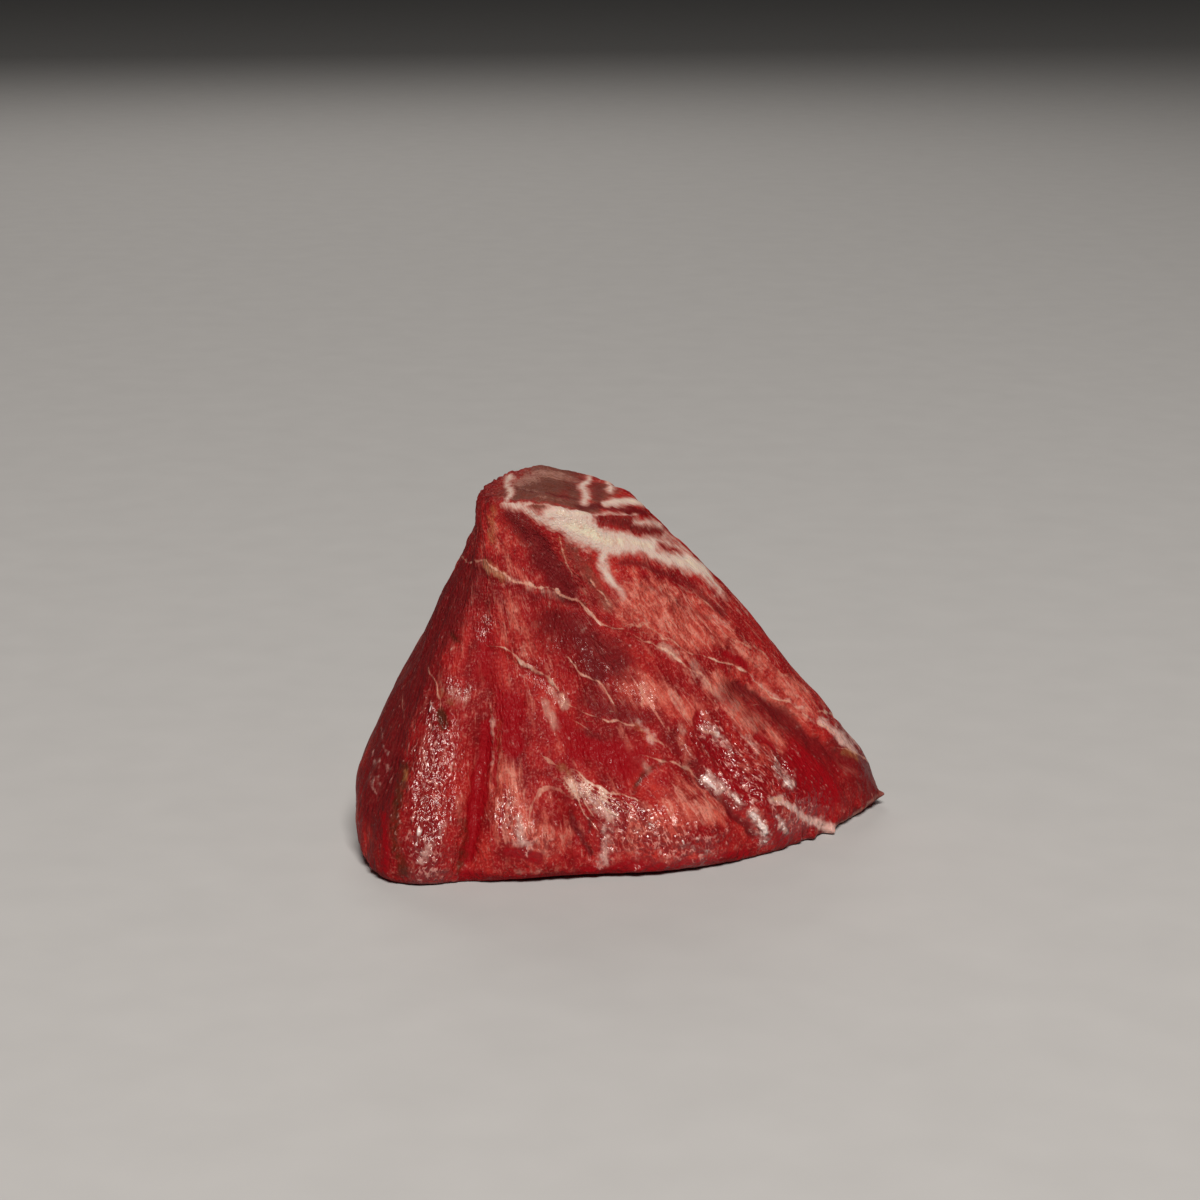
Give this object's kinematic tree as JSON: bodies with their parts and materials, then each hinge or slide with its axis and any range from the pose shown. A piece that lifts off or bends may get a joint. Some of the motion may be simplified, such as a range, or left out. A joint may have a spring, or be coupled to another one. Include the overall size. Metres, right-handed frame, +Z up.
{
  "type": "raw tuna steak",
  "caption": "Thick wedge of raw red tuna that stands on its cut foot and tapers to a small slanting crown, with furrowed muscle and pale seams of fat.",
  "frame": {"origin": "bottom centre of the bounding box, on the surface that the foot rests on", "axes": "+Z up, +X along the longest side towards the low pointed tip, +Y from the furrowed front to the back"},
  "size_m": [0.1286, 0.0916, 0.0847],
  "materials": {
    "raw_flesh": "wet raw muscle with pale fat seams"
  },
  "bodies": {
    "root": {"tuna_steak": "raw_flesh"}
  },
  "joints": []
}
